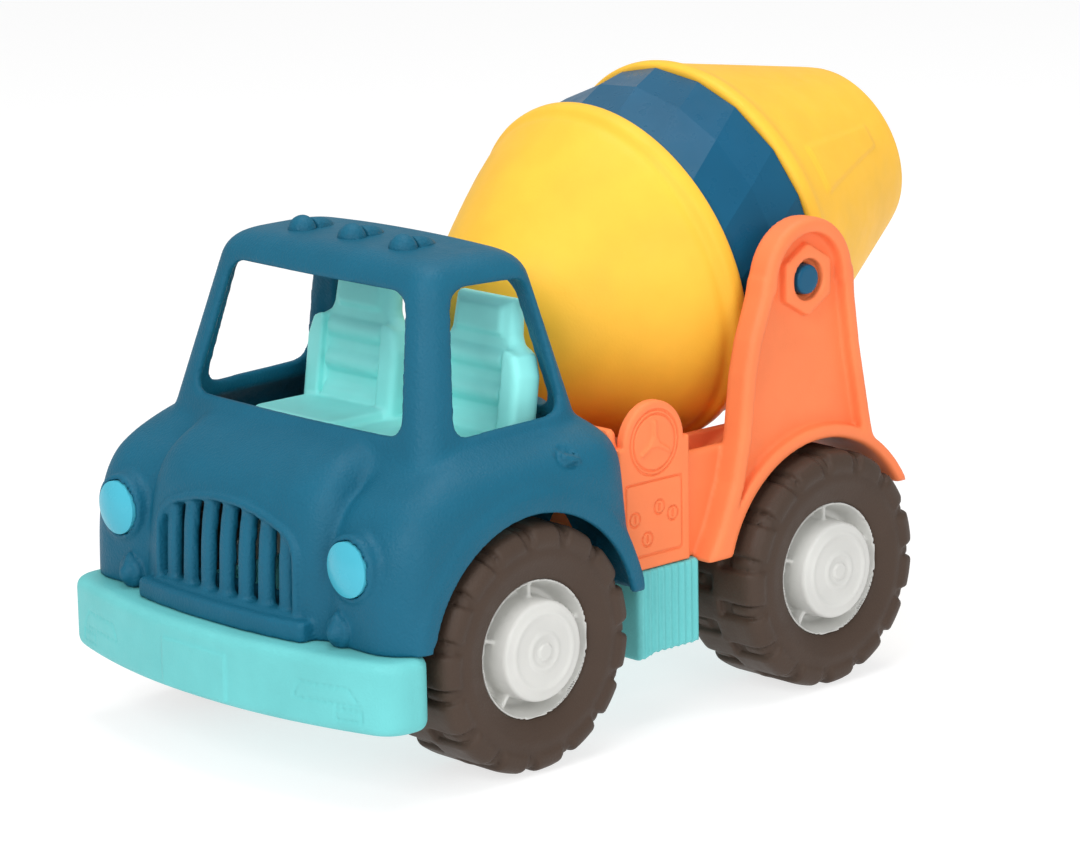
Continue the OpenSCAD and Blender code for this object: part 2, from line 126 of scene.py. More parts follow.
def skin(field, low, step):
    """The surface where the field is zero, as vertices in metres and quads."""
    inside = field < 0
    size = [n - 1 for n in field.shape]
    corners = list(itertools.product((0, 1), repeat=3))
    count = np.zeros(size, np.int8)
    for c in corners:
        count += inside[tuple(slice(o, o + n) for o, n in zip(c, size))]
    cells = np.argwhere((count > 0) & (count < len(corners)))
    index = np.full(size, -1, np.int32)
    index[tuple(cells.T)] = np.arange(len(cells))
    total = np.zeros((len(cells), 3))
    hits = np.zeros(len(cells))
    for start in corners:
        for axis in range(3):
            if start[axis]:
                continue
            end = [o + (i == axis) for i, o in enumerate(start)]
            f0 = field[tuple((cells + start).T)].astype(float)
            f1 = field[tuple((cells + end).T)].astype(float)
            crossing = np.flatnonzero((f0 < 0) != (f1 < 0))
            point = np.tile(np.array(start, float), (len(crossing), 1))
            point[:, axis] += f0[crossing] / (f0[crossing] - f1[crossing])
            total[crossing] += point
            hits[crossing] += 1
    verts = (np.array(low) + step * (cells + total / hits[:, None])) * MM
    quads = []
    for axis in range(3):
        du, dv = np.eye(3, dtype=int)[[(axis + 1) % 3, (axis + 2) % 3]]
        first = [slice(1, -1)] * 3
        second = [slice(1, -1)] * 3
        first[axis], second[axis] = slice(0, -1), slice(1, None)
        below, above = inside[tuple(first)], inside[tuple(second)]
        edge = np.argwhere(below != above)
        flip = above[tuple(edge.T)]
        edge = edge + du + dv
        ring = [edge - du - dv, edge - dv, edge, edge - du]
        quad = np.stack([index[tuple(r.T)] for r in ring], axis=1)
        quad[flip] = quad[flip][:, ::-1]
        quads.append(quad)
    return verts, np.concatenate(quads)


def grid(low, high, step):
    """Sample places over a box, as three open arrays that broadcast together."""
    axes = [np.arange(a - 2 * step, b + 3 * step, step, dtype=np.float32) for a, b in zip(low, high)]
    return np.ix_(*axes), [a[0] for a in axes]


# ---------------------------------------------------------------- meshes


def mesh_piece(name, verts, faces, material, body, replaced=()):
    """A smooth-shaded mesh that rides on a body and stands for the CAD nodes it replaces."""
    mesh = bpy.data.meshes.new(name)
    mesh.from_pydata([tuple(v) for v in verts], [], [tuple(f) for f in faces])
    mesh.shade_smooth()
    mesh.materials.append(material)
    piece = bpy.data.objects.new(name, mesh)
    bpy.context.scene.collection.objects.link(piece)
    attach(piece, body)
    if replaced:
        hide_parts(*replaced)
    return piece


def moulded(name, solid, low, high, step, material, body, replaced=()):
    """A piece moulded from a field over the box from low to high."""
    step = step * COARSE
    (x, y, z), start = grid(low, high, step)
    verts, quads = skin(solid(x, y, z), start, step)
    return mesh_piece(name, verts, quads, material, body, replaced)


def mirrored(name, solid, low, high, step, material, body, replaced=()):
    """A left-side piece and its mirror image on the right."""
    left = moulded(name + "_left", solid, low, high, step, material, body, replaced)
    verts = [(v.co.x, -v.co.y, v.co.z) for v in left.data.vertices]
    faces = [tuple(reversed(f.vertices)) for f in left.data.polygons]
    mesh_piece(name + "_right", verts, faces, material, body, replaced)


# ---------------------------------------------------------------- materials


def linear(srgb):
    """Turns a 0 to 255 sRGB colour into the linear values that shaders take."""
    return [c / 255 / 12.92 if c / 255 <= 0.04045 else ((c / 255 + 0.055) / 1.055) ** 2.4 for c in srgb] + [1]


def plastic(name, srgb, rough, grain=0.00035, depth=0.12, swirl=0.05):
    """Moulded plastic: fine grain, slight colour drift and a gloss that varies a little."""
    material = bpy.data.materials.new(name)
    material.use_nodes = True
    tree = material.node_tree
    shader = tree.nodes["Principled BSDF"]
    place = tree.nodes.new("ShaderNodeTexCoord")

    def noise(size, detail):
        node = tree.nodes.new("ShaderNodeTexNoise")
        node.inputs["Scale"].default_value = 1 / size
        node.inputs["Detail"].default_value = detail
        tree.links.new(place.outputs["Object"], node.inputs["Vector"])
        return node.outputs["Fac"]

    def ramp(source, low, high):
        node = tree.nodes.new("ShaderNodeValToRGB")
        node.color_ramp.elements[0].position = 0.3
        node.color_ramp.elements[1].position = 0.7
        node.color_ramp.elements[0].color = low
        node.color_ramp.elements[1].color = high
        tree.links.new(source, node.inputs["Fac"])
        return node.outputs["Color"]

    colour = linear(srgb)
    darker = [c * (1 - swirl) for c in colour[:3]] + [1]
    lighter = [min(1, c * (1 + swirl)) for c in colour[:3]] + [1]
    tree.links.new(ramp(noise(0.02, 3), darker, lighter), shader.inputs["Base Color"])
    gloss = ramp(noise(0.006, 4), [rough - 0.05] * 3 + [1], [rough + 0.05] * 3 + [1])
    tree.links.new(gloss, shader.inputs["Roughness"])
    bump = tree.nodes.new("ShaderNodeBump")
    bump.inputs["Strength"].default_value = depth
    bump.inputs["Distance"].default_value = grain
    tree.links.new(noise(grain * 1.6, 2), bump.inputs["Height"])
    tree.links.new(bump.outputs["Normal"], shader.inputs["Normal"])
    shader.inputs["Specular IOR Level"].default_value = 0.2
    return material


blue = plastic("cab_blue", (18, 92, 118), 0.5, 0.0006, 0.5)
teal = plastic("bumper_teal", (106, 194, 195), 0.5, 0.0005, 0.3)
aqua = plastic("seat_aqua", (150, 240, 236), 0.45)
orange = plastic("frame_orange", (244, 130, 80), 0.5, 0.0004, 0.15)
yellow = plastic("drum_yellow", (246, 190, 62), 0.48, 0.0004, 0.15)
ring_blue = plastic("ring_blue", (18, 84, 116), 0.3, 0.0004, 0.02)
sky = plastic("headlight_sky", (74, 176, 198), 0.25, 0.0004, 0.02)
white = plastic("hub_white", (204, 204, 200), 0.45)
brown = plastic("tyre_brown", (70, 56, 47), 0.5, 0.0005, 0.25)
steel = plastic("steel", (180, 180, 182), 0.3)
steel.node_tree.nodes["Principled BSDF"].inputs["Metallic"].default_value = 1.0

# ---------------------------------------------------------------- sizes from the frame

joints = {j["name"]: j for j in frame["joints"]}
axle_x, _, axle_z = (v / MM for v in joints["front_wheels_spin"]["pos_m"])
rear_x = joints["rear_wheels_spin"]["pos_m"][0] / MM
pivot_x, _, pivot_z = (v / MM for v in joints["drum_tilt"]["pos_m"])

ARCH_R = 43.0
BUMPER_BACK_X = 119
BUMPER_Z = (24, 47.5)
TRAY_Y = 42
TRAY_Z = (28, 50)
SCREW_PLACES = ((112, 30), (42, 34), (56, 22), (98, 22), (20, 30), (-76, 30))

# ---------------------------------------------------------------- cab

CAB_WALL = 3.0
LAMP = (133.5, 56.8, 73.0)
LAMP_R = 8.8
SIGNAL_Y = 51.4
ROOF_LIGHT_Y = 24.5


def glasshouse(x, y, z):
    """Roof and pillars above the belt line."""
    side = np.abs(y)
    front = 0.967 * (x - 96.9) + 0.256 * (z - 150.8) + y * y / 1500
    back = -0.981 * (x - 39.5 - 0.198 * (z - 100))
    flank = 0.974 * (side - 52.5) + 0.2265 * (z - 151) + 0.02 * (x - 70)
    roof = z - 161 + y * y / 1500 + (x - 72) ** 2 / 1500
    around = both(both(front, flank, 8), both(back, flank, 8))
    return both(both(around, roof, 8), 95 - z)


def fender(x, y, z):
    """One front fender on each side: a round-nosed bulge with a falling crest."""
    side = np.abs(y)
    plan = plate(x, side, (30, 36.5), (134.3, 78.3), 16)
    points = [(20, 30), (141, 30), (141, 66), (133.5, 82), (123, 92.5), (109, 99.8), (92, 103), (20, 103)]
    return both(plan, outline(points, x, z, 8), 16)


def bonnet(x, y, z):
    """The rounded nose between the fenders."""
    bow = disc(x, y, -14, 0, 154)
    points = [(30, 30), (142, 30), (141, 66), (138, 84), (129, 97), (118, 104), (106, 108), (30, 108)]
    return both(both(bow, np.abs(y) - 47.5 + 0.16 * (z - 60), 11), outline(points, x, z, 8), 10)


def doors(x, y, z):
    """The lower sides and back of the cab."""
    side = np.abs(y)
    points = [(-60, 30), (78.4, 30), (78.4, 50), (77.3, 66), (71.5, 86), (63.4, 104), (60, 107), (-60, 107)]
    back = -(x - 39.5 - 0.13 * (z - 100))
    return both(both(outline(points, side, z, 4), back, 5), x - 110, 20)


def cab_outside(x, y, z):
    """The cab's outer skin, before its openings and trim."""
    crease = 2 + 12 * np.clip((114 - x) / 18, 0, 1) + 0 * z
    lower = join(fender(x, y, z), bonnet(x, y, z), crease)
    lower = join(lower, doors(x, y, z), 8)
    flare = both(disc(x, z, axle_x, axle_z, ARCH_R + 6.5), np.abs(y) - 79, 3)
    lower = join(lower, both(flare, 60 - np.abs(y)), 3)
    return join(lower, glasshouse(x, y, z), 1.5)


def grille_arch(y, z):
    """Outline of the grille: straight sides under an arched top."""
    top = disc(y, z, 0, 10, 75.5)
    return both(both(top, np.abs(y) - 34, 7), 54 - z)


def cab_solid(x, y, z):
    """The cab's shell with its grille, lip, signals, bezels, windows, arches and handles."""
    side = np.abs(y)
    outer = cab_outside(x, y, z)
    solid = cut(outer, outer + CAB_WALL)

    # Grille: a raised rim, a sunk field, seven bars and six slots
    behind = 120 - x
    arch = grille_arch(y, z)
    rim = both(both(np.abs(arch) - 1.2, outer - 1.5, 1.0), behind)
    solid = join(solid, rim, 0.5)
    solid = cut(solid, both(both(arch + 1.3, -(outer + 2.4), 0.5), behind), 0.4)
    pitch = 9.3
    across = np.abs((y + pitch / 2) % pitch - pitch / 2)
    bars = both(both(across - 2.7, outer + 0.1, 2.2), -(outer + 4))
    solid = join(solid, both(both(bars, arch + 0.6), behind), 0.6)
    slots = both(both(3.0 - across, arch + 2.2, 0.6), both(behind, 55.5 - z))
    solid = cut(solid, slots, 0.4)

    # Skirt lip under the grille
    lip = both(both(side - 40.5, slab(z, 46, 54), 1.4), both(outer - 5, behind), 1.4)
    solid = join(solid, cut(lip, outer + CAB_WALL), 0.8)

    # Turn signals and headlight bezels
    bulb = ball(x, side, z, (134.2, SIGNAL_Y, 52.2), (3.4, 3.2, 3.4))
    tip = ball(x, side, z, (133.6, SIGNAL_Y, 55.4), (2.0, 1.6, 4))
    around = both(disc(side, z, SIGNAL_Y, 52.4, 5.2), slab(x, 126, 135), 0.8)
    signal = join(join(bulb, tip, 1.2), around, 0.3)
    solid = join(solid, both(signal, -(outer + CAB_WALL)), 0.5)
    bezel = both(disc(side, z, LAMP[1], LAMP[2], LAMP_R + 1.9), slab(x, LAMP[0] - 9, LAMP[0] + 0.6), 2)
    solid = join(solid, bezel, 1.5)
    solid = cut(solid, both(disc(side, z, LAMP[1], LAMP[2], LAMP_R), LAMP[0] - 14 - x), 0.5)

    # Windows
    screen = outline([(-50.8, 107.8), (50.8, 107.8), (42.2, 150.8), (-42.2, 150.8)], y, z, 7)
    solid = cut(solid, both(screen, 75 - x), 1.4)
    glass = outline([(48.6, 108.4), (93.6, 106.8), (85, 151.4), (52.8, 150.9)], x, z, 7)
    solid = cut(solid, both(glass, 40 - side), 1.4)
    rear = outline([(-52, 107.5), (52, 107.5), (43, 149.5), (-43, 149.5)], y, z, 8)
    solid = cut(solid, both(rear, x - 58), 1.4)

    # Wheel arches and the open underside
    solid = cut(solid, both(disc(x, z, axle_x, axle_z, ARCH_R), 44 - side), 1.4)
    solid = cut(solid, z - np.where(x > BUMPER_BACK_X, BUMPER_Z[1], TRAY_Z[1]), 0.6)

    # Door handles: a sunk ring with a short pull
    ring = disc(x / 1.35, z, 59 / 1.35, 97.2, 2.5)
    groove = both(both(np.abs(ring) - 0.55, -(outer + 0.8), 0.4), 50 - side)
    solid = cut(solid, groove, 0.3)
    pull = both(rod(x, z, (55.5, 96.8), (60.5, 98.2), 0.9), both(outer - 0.9, 50 - side), 0.6)
    return join(solid, both(pull, -(outer + 1)), 0.4)


def roof_light_solid(x, y, z):
    """Three roof lights: a round lens, a groove behind it and a tail that tapers off."""
    near = np.abs(y) - ROOF_LIGHT_Y * (np.abs(y) > ROOF_LIGHT_Y / 2)
    roof = 160.9 - y * y / 1500 - (x - 72) ** 2 / 1500
    tail = ball(x, near, z, (75.4, 0, roof - 0.8), (8.4, 4.0, 4.0))
    lens = ball(x, near, z, (80, 0, roof - 0.6), (4.8, 4.9, 5.2))
    bow = x + 0.05 * near * near
    neck = both(np.abs(bow - 77.2) - 0.55, -(tail + 1.3))
    light = join(cut(tail, neck, 0.3), both(lens, 77.9 - bow, 0.8), 0.2)
    return both(light, roof - 1.5 - z)


moulded("cab", cab_solid, (31, -82, 45), (145, 82, 164), 1.02,
        blue, "truck", ["cab_shell"])
moulded("roof_lights", roof_light_solid, (66, -31, 156), (86, 31, 166), 0.45,
        blue, "truck", ["cab_shell"])

# ---------------------------------------------------------------- bumper, steps and tray


def bumper_solid(x, y, z):
    """The bowed bumper, open underneath, with a blank raised plate and fine outlines."""
    side = np.abs(y)
    plan = both(plate(x, y, (BUMPER_BACK_X, -79.5), (155, 79.5), 7), disc(x, y, -90, 0, 240), 7)
    outer = both(plan, slab(z, *BUMPER_Z), 4)
    solid = cut(outer, both(plan + 3, z - 44))
    ahead = both(140 - x, 24.2 - z)
    blank = both(both(side - 15.8, slab(z, 25.5, 41.5), 1.2), both(outer - 0.7, ahead), 0.6)
    solid = join(solid, cut(blank, outer + 3), 0.3)
    # Fine lines near each end: a frame with a small oblong below it
    lamp = polygon([(44, 33.4), (46, 38.4), (64, 38.4), (68, 33.4)], side, z)
    oblong = both(np.abs(side - 64) - 4.6, np.abs(z - 30) - 1.7)
    lines = join(np.abs(lamp) - 0.35, np.abs(oblong) - 0.35)
    return cut(solid, both(lines, both(-(outer + 0.45), 130 - x)), 0.2)


def step_solid(x, y, z):
    """The left side step, open underneath, with upright flutes and a toothed lower edge."""
    shell = both(both(slab(x, -5, 22.5), slab(y, 40, 69.4), 2.5), slab(z, 22.5, 52.5), 1.5)
    inner = both(both(slab(x, -2, 19.5), slab(y, 44, 66)), z - 49.5)
    pitch = 3.05
    tooth = np.abs((x + 5) % pitch - pitch / 2) / pitch
    solid = cut(shell, inner)
    solid = both(solid, y - 69.4 + 0.55 * np.cos((x + 5) * 2 * math.pi / pitch) + 0.5)
    hem = 25.2 - 1.8 * np.clip((x - 15) / 7, 0, 1) - 2.6 * tooth
    return both(solid, np.where(y > 60, hem, 24.4) - z, 0.5)


def tray_solid(x, y, z):
    """The tray with its two axle saddles, screw recesses and the tie to the bumper."""
    side = np.abs(y)
    outer = both(slab(x, -84, 126), slab(z, *TRAY_Z), 1)
    outer = both(outer, side - TRAY_Y, 1.5)
    inner = both(both(slab(x, -81, 123), side - TRAY_Y + 3, 1), TRAY_Z[0] + 4 - z, 1)
    solid = cut(outer, inner)
    near = np.minimum(np.abs(x - axle_x), np.abs(x - rear_x))
    solid = join(solid, both(near - 15, both(side - TRAY_Y, slab(z, *TRAY_Z))), 0.5)
    solid = cut(solid, both(near - 12, z - axle_z), 0.5)
    solid = cut(solid, both(disc(near, z, 0, axle_z, 2.7), side - 60), 0.2)
    tie = both(slab(x, 120, 134), both(side - TRAY_Y, slab(z, 24.5, 46.4)), 0.5)
    for place in SCREW_PLACES:
        solid = cut(solid, both(disc(x, side, *place, 3.4), z - TRAY_Z[0] - 2), 0.2)
    return join(solid, tie, 0.5)


moulded("bumper", bumper_solid, (118, -80, 23), (152, 80, 48.5), 0.6,
        teal, "truck", ["chassis"])
mirrored("side_step", step_solid, (-6, 39, 21), (24, 71, 54), 0.55,
         teal, "truck", ["chassis"])
moulded("tray", tray_solid, (-85, -43, 23), (135, 43, 51), 1.1,
        teal, "truck", ["chassis"])

# ---------------------------------------------------------------- seats

SEAT = (57.5, 29, 97)
SEAT_LEAN = math.radians(8)


def seats_solid(x, y, z):
    """Two leaning seats on their deck, each with bolsters, padded bars, a headrest and a cushion."""
    side = np.abs(y)
    ahead = math.cos(SEAT_LEAN) * (x - SEAT[0]) + math.sin(SEAT_LEAN) * (z - SEAT[2])
    rise = -math.sin(SEAT_LEAN) * (x - SEAT[0]) + math.cos(SEAT_LEAN) * (z - SEAT[2])
    across = np.abs(side - SEAT[1])
    points = [(-40, -2), (21.5, -2), (21.5, 22), (19.5, 28), (15, 31.5), (13.8, 34), (12.8, 45), (-40, 45)]
    back = polygon(points, across, rise) - 0.8
    shell = both(back, slab(ahead, -7.5, 0), 4)
    bolster = both(back, both(slab(ahead, -7.5, 3.4), both(14.6 - across, rise - 30)), 3)
    shell = join(shell, bolster, 1.5)
    ribs = np.abs((rise + 1.5) % 11 - 5.5)
    pad = both(both(across - 13.6, slab(rise, -1, 30)), slab(ahead, -3, 2.4 - 0.16 * ribs * ribs), 1.5)
    head = both(both(across - 11, slab(rise, 33.5, 43.5), 2), slab(ahead, -3, 1.4), 2)
    shell = join(join(shell, pad, 0.8), head, 0.8)
    cushion = both(both(slab(x, 53, 85), across - 20, 4), slab(z, 94, 100), 2.5)
    deck = both(both(slab(x, 47, 100), side - 53, 3), slab(z, 94, 97), 1)
    return join(deck, join(shell, cushion, 1.5), 1.2)


moulded("seats", seats_solid, (43, -54, 92), (101, 54, 146), 0.7,
        aqua, "truck", ["seat_tub"])

# ---------------------------------------------------------------- rear frame

ARM_FACE = 75.0
PANEL_FACE = 69.0
GAUGE = (15, 94)
GAUGE_R = 13.5
BUTTONS = ((24, 70), (18.5, 62.8), (13, 72.5), (7, 69.5))


def arm_outline(x, z):
    """Side outline of an arm with the fender below it."""
    leg = polygon([(-31.2, 139.6), (-24, 121), (-21.3, 110), (-18.8, 90), (-15.5, 76), (-10, 62), (-4, 51),
                   (-84, 51), (-84, 73), (-80.5, 88), (-75.5, 113), (-72, 138.6)], x, z)
    arm = join(disc(x, z, pivot_x, pivot_z, 20.5), leg, 3)
    arm = cut(arm, both(x - rear_x, z - 73), 1)
    tail = both(disc(x, z, rear_x, axle_z, ARCH_R + 4.5), both(x + 78, 62 - z), 0.5)
    return cut(join(arm, tail, 2), disc(x, z, rear_x, axle_z, ARCH_R), 0.8)


def frame_solid(x, y, z):
    """Both arms with their hexagonal bosses, the rear fenders and the bed."""
    side = np.abs(y)
    arm_plan = arm_outline(x, z)
    arm = both(arm_plan, slab(side, 65, ARM_FACE), 2.6)
    arm = cut(arm, both(arm_plan + 5, 70.6 - side, 1.4), 1.2)
    dx, dz = x - pivot_x, z - pivot_z
    slanted = np.maximum(np.abs(dx / 2 + 0.866 * dz), np.abs(dx / 2 - 0.866 * dz))
    hexagon = np.maximum(np.abs(dx), slanted) - 10.6
    arm = join(arm, both(hexagon, slab(side, 66, 74), 1.2), 0.7)
    pin = disc(x, z, pivot_x, pivot_z, 0)
    arm = cut(arm, both(pin - 6.9, 70.6 - side), 0.6)
    arm = cut(arm, both(pin - 5.2, 60 - side))

    # Fender roof, its inner wall, and the bed
    arch = disc(x, z, rear_x, axle_z, 46)
    roof = both(both(both(arch, -(arch + 3)), arm_plan - 0.2), slab(side, 42, 67), 0.6)
    wall = both(both(slab(x, -84, -5), slab(z, 50, 86), 2), slab(side, 41, 44.2), 0.8)
    wall = cut(wall, both(x + 77, 76 - z), 1)
    deck = both(both(slab(x, -84, 32), side - 41, 2), slab(z, 50.2, 54), 0.8)
    floor = both(both(slab(x, -4, 32), side - 66, 1), slab(z, 52.6, 54.5), 0.8)
    top = 87 + 10 * np.clip((x - 19) / 12, 0, 1) ** 2
    flank = both(both(slab(x, -24, 32), slab(side, 62, 66)), slab(z, 52.6, top), 1.2)
    bulk = both(slab(x, 28.6, 32), both(side - 66, slab(z, 52.6, 100), 3))
    bulk = both(bulk, -disc(y, z, 0, 126, 46), 1.2)
    bed = join(join(deck, floor, 1), join(flank, bulk, 1.5), 1)
    solid = join(join(arm, roof, 1), join(wall, bed, 1), 1)
    return cut(solid, both(disc(x, z, rear_x, axle_z, ARCH_R), 44.2 - side), 0.8)


def panel_solid(x, y, z):
    """Side panel with a gauge over a framed field of four buttons."""
    box = polygon([(-1, 52.7), (31, 52.7), (31, GAUGE[1]), (-1, GAUGE[1])], x, z)
    plan = join(box, disc(x, z, *GAUGE, GAUGE_R), 0.5)
    outer = both(plan, y - PANEL_FACE, 1.4)
    solid = both(outer, 65.4 - y)
    field = both(slab(x, 3, 28), slab(z, 57.5, 81.5), 1)
    lines = np.abs(field) - 0.32
    dial = disc(x, z, *GAUGE, 0)
    lines = join(lines, np.abs(dial - 10.6) - 0.32)
    lines = join(lines, np.abs(dial - 9.2) - 0.3)
    for bx, bz in BUTTONS:
        lines = join(lines, np.abs(disc(x, z, bx, bz, 2.3)) - 0.28)
        lines = join(lines, rod(x, z, (bx, bz - 0.9), (bx, bz + 0.9), 0.45))
    solid = cut(solid, both(lines, PANEL_FACE - 0.75 - y), 0.15)
    spokes = dial - 1.8
    for turn in (math.radians(degrees) for degrees in (90, 210, 330)):
        tip = (GAUGE[0] + 6.6 * math.cos(turn), GAUGE[1] + 6.6 * math.sin(turn))
        spokes = join(spokes, rod(x, z, GAUGE, tip, 0.75), 0.6)
    return join(solid, both(spokes, slab(y, PANEL_FACE - 1, PANEL_FACE + 0.8), 0.3), 0.2)


moulded("rear_frame_body", frame_solid, (-101, -77, 48), (34, 77, 160), 0.96,
        orange, "truck", ["rear_frame"])
mirrored("side_panel", panel_solid, (-2, 64, 51), (32, 70.5, 109), 0.45,
         orange, "truck", ["rear_frame"])

# ---------------------------------------------------------------- drum

RISE = math.radians(14)
DRUM_AXIS = np.array([-math.cos(RISE), 0, math.sin(RISE)])
DRUM_UP = np.array([math.sin(RISE), 0, math.cos(RISE)])


def drum_point(a, r, turn):
    """A place on the drum: a along its axis, at radius r, turned from the left side up."""
    turn = np.radians(turn)
    side = np.array([0, 1, 0])
    centre = np.array([pivot_x, 0, pivot_z])
    ring = np.multiply.outer(np.cos(turn) * r, side) + np.multiply.outer(np.sin(turn) * r, DRUM_UP)
    return (centre + np.multiply.outer(a + 0 * turn, DRUM_AXIS) + ring) * MM


def rounded(points, radius, steps=4):
    """A profile through the points with its corners rounded."""
    path = [np.array(points[0], float)]
    for before, corner, after in zip(points, points[1:], points[2:]):
        before, corner, after = (np.array(p, float) for p in (before, corner, after))
        reach = min(radius, *(np.linalg.norm(p - corner) * 0.45 for p in (before, after)))
        start = corner + (before - corner) / np.linalg.norm(before - corner) * reach
        end = corner + (after - corner) / np.linalg.norm(after - corner) * reach
        for t in np.linspace(0, 1, steps + 1):
            path.append((1 - t) ** 2 * start + 2 * t * (1 - t) * corner + t * t * end)
    path.append(np.array(points[-1], float))
    return path


def finely(path, gap):
    """The same profile with no step longer than gap."""
    fine = [path[0]]
    for a, b in zip(path, path[1:]):
        steps = max(1, math.ceil(np.linalg.norm(b - a) / gap))
        fine += [a + (b - a) * i / steps for i in range(1, steps + 1)]
    return fine


def lathe(name, profile, segments, material, replaced, relief=None):
    """A piece turned about the drum's axis from pairs of distance and radius, closed on itself."""
    turns = np.arange(segments) * 360 / segments
    rows = []
    for a, r in profile:
        lift = relief(a, r, turns) if relief else 0 * turns
        rows.append(drum_point(a, np.maximum(r + lift, 0.02), turns))
    verts = np.concatenate(rows)
    faces = []
    count = len(profile)
    for i in range(count):
        j = (i + 1) % count
        for k in range(segments):
            m = (k + 1) % segments
            faces.append((i * segments + k, j * segments + k, j * segments + m, i * segments + m))
    return mesh_piece(name, verts, faces, material, "drum", replaced)


bowl_out = rounded([(30, 52.5), (-15.8, 52.5), (-16.2, 60.6), (-21.6, 60.3), (-24, 57.6), (-27, 57.1),
                    (-36, 52.9), (-46, 47.6), (-56, 42), (-65, 36.6), (-71, 32), (-75.5, 27.2),
                    (-79, 21), (-81, 14), (-82, 6), (-82, 0.02)], 2.4)
bowl_in = rounded([(-79.6, 0.02), (-78.6, 12), (-75, 22), (-69, 29.5), (-62.5, 34), (-44, 44.5),
                   (-31, 50), (30, 50.2)], 4)
segments = 168
lathe("drum_front_shell", bowl_out + bowl_in, segments, yellow, ["drum_front"])


def badge(a, r, turns):
    """A faint raised plate on the cone, repeated on the far side."""
    lift = 0 * turns
    for start in (0, 180):
        turn = (turns - start + 180) % 360 - 180
        lower, upper = 14.5 + 0.115 * (a - 38), 32.6 - 0.04 * (a - 38)
        inside = np.minimum(np.minimum(turn - lower, upper - turn) * r / 57, np.minimum(a - 37, 78 - a))
        lift = np.maximum(lift, 0.7 * np.clip(inside / 0.9 + 0.5, 0, 1))
    return lift if r > 34 else 0 * turns


cone_out = rounded([(30.5, 50.4), (20.6, 50.4), (20.3, 59.8), (24.6, 59.9), (28.8, 57), (90, 33),
                    (94.3, 31), (94.5, 28), (91, 26.6)], 3)
cone_in = rounded([(86, 30), (31.5, 53.4)], 3)
lathe("drum_rear_shell", finely(cone_out, 1.4) + cone_in, segments * 2,
      yellow, ["drum_rear"], badge)


RING_SIDES = 20


def ring_mesh():
    """The ring as two rows of flat facets, slanted, with a closed inside."""
    sides = RING_SIDES
    rows = [(-15.9, 58.7), (2.6, 59.5), (19.9, 58.7), (19.9, 53.2), (-15.9, 53.2)]
    verts, faces = [], []
    for row, (a, r) in enumerate(rows):
        for i in range(sides):
            turn = 28.8 + 0.44 * (a - 2.6) + (i + 0.06 * (i % 2)) * 360 / sides
            verts.append(drum_point(a, r - 0.2 * (i % 3), turn))
    for row in range(len(rows)):
        below, above = row * sides, (row + 1) % len(rows) * sides
        for i in range(sides):
            j = (i + 1) % sides
            faces.append((below + i, above + i, above + j, below + j))
    return verts, faces


ring_verts, ring_faces = ring_mesh()
ring = mesh_piece("ring_band", ring_verts, ring_faces,
                  ring_blue, "drum_cradle", ["drum_ring"])
# Its three outer rows of corners come first, and their edges are sharp
ring.data.edges.foreach_set("use_edge_sharp", [min(e.vertices) < 3 * RING_SIDES for e in ring.data.edges])


def pins_solid(x, y, z):
    """The ring's two pivot pins, thicker where they leave the ring."""
    side = np.abs(y)
    about = disc(x, z, pivot_x, pivot_z, 0)
    thin = both(about - 5, slab(side, 50, 73.6), 1)
    return join(thin, both(about - 9, slab(side, 54, 64.7), 1))


moulded("ring_pins", pins_solid, (pivot_x - 10, -75, pivot_z - 10), (pivot_x + 10, 75, pivot_z + 10),
        0.7, ring_blue, "drum_cradle", ["drum_ring"])

# ---------------------------------------------------------------- wheels


WHEEL_Y = 63
LUGS = 15
HUB_RIBS = 5


def wheel_fields(x, y, z):
    """Distance from the axle, turn about it, and place across the left wheel."""
    return np.sqrt(x * x + z * z), np.arctan2(z, x), y - WHEEL_Y


def about_nearest(turn, pitch):
    """The turn from the nearest of the marks set out at every pitch."""
    return (turn + pitch / 2) % pitch - pitch / 2


def tyre_solid(x, y, z):
    """A left tyre about the axle, with two staggered rows of lugs that wrap onto the sidewall."""
    r, turn, w = wheel_fields(x, y, z)
    reach = np.abs(w)
    dish = 13.6 + 3.7 * np.clip((r - 21) / 8.5, 0, 1) ** 0.6 - 0.6 * np.clip((r - 29) / 8, 0, 1)
    core = both(both(r - 37.7, reach - dish, 8), 22 - r, 1.2)
    envelope = both(both(r - 39.75, reach - 17.5, 6), 22 - r)
    pitch = 2 * math.pi / LUGS
    solid = core
    for row in (1, -1):
        offset = 0 if row > 0 else pitch / 2
        along = np.abs(about_nearest(turn + offset, pitch)) * r
        lug = both(both(along - 5.6, envelope, 1.2), both(33 - r, -1.5 - row * w, 1), 1)
        solid = join(solid, lug, 0.7)
        across = np.abs((turn + offset) % pitch - pitch / 2) * r
        pad = both(both(across - 1.8, envelope + 1.0, 1.0), both(34.5 - r, 6 - row * w, 1), 0.8)
        solid = join(solid, pad, 0.4)
    return solid


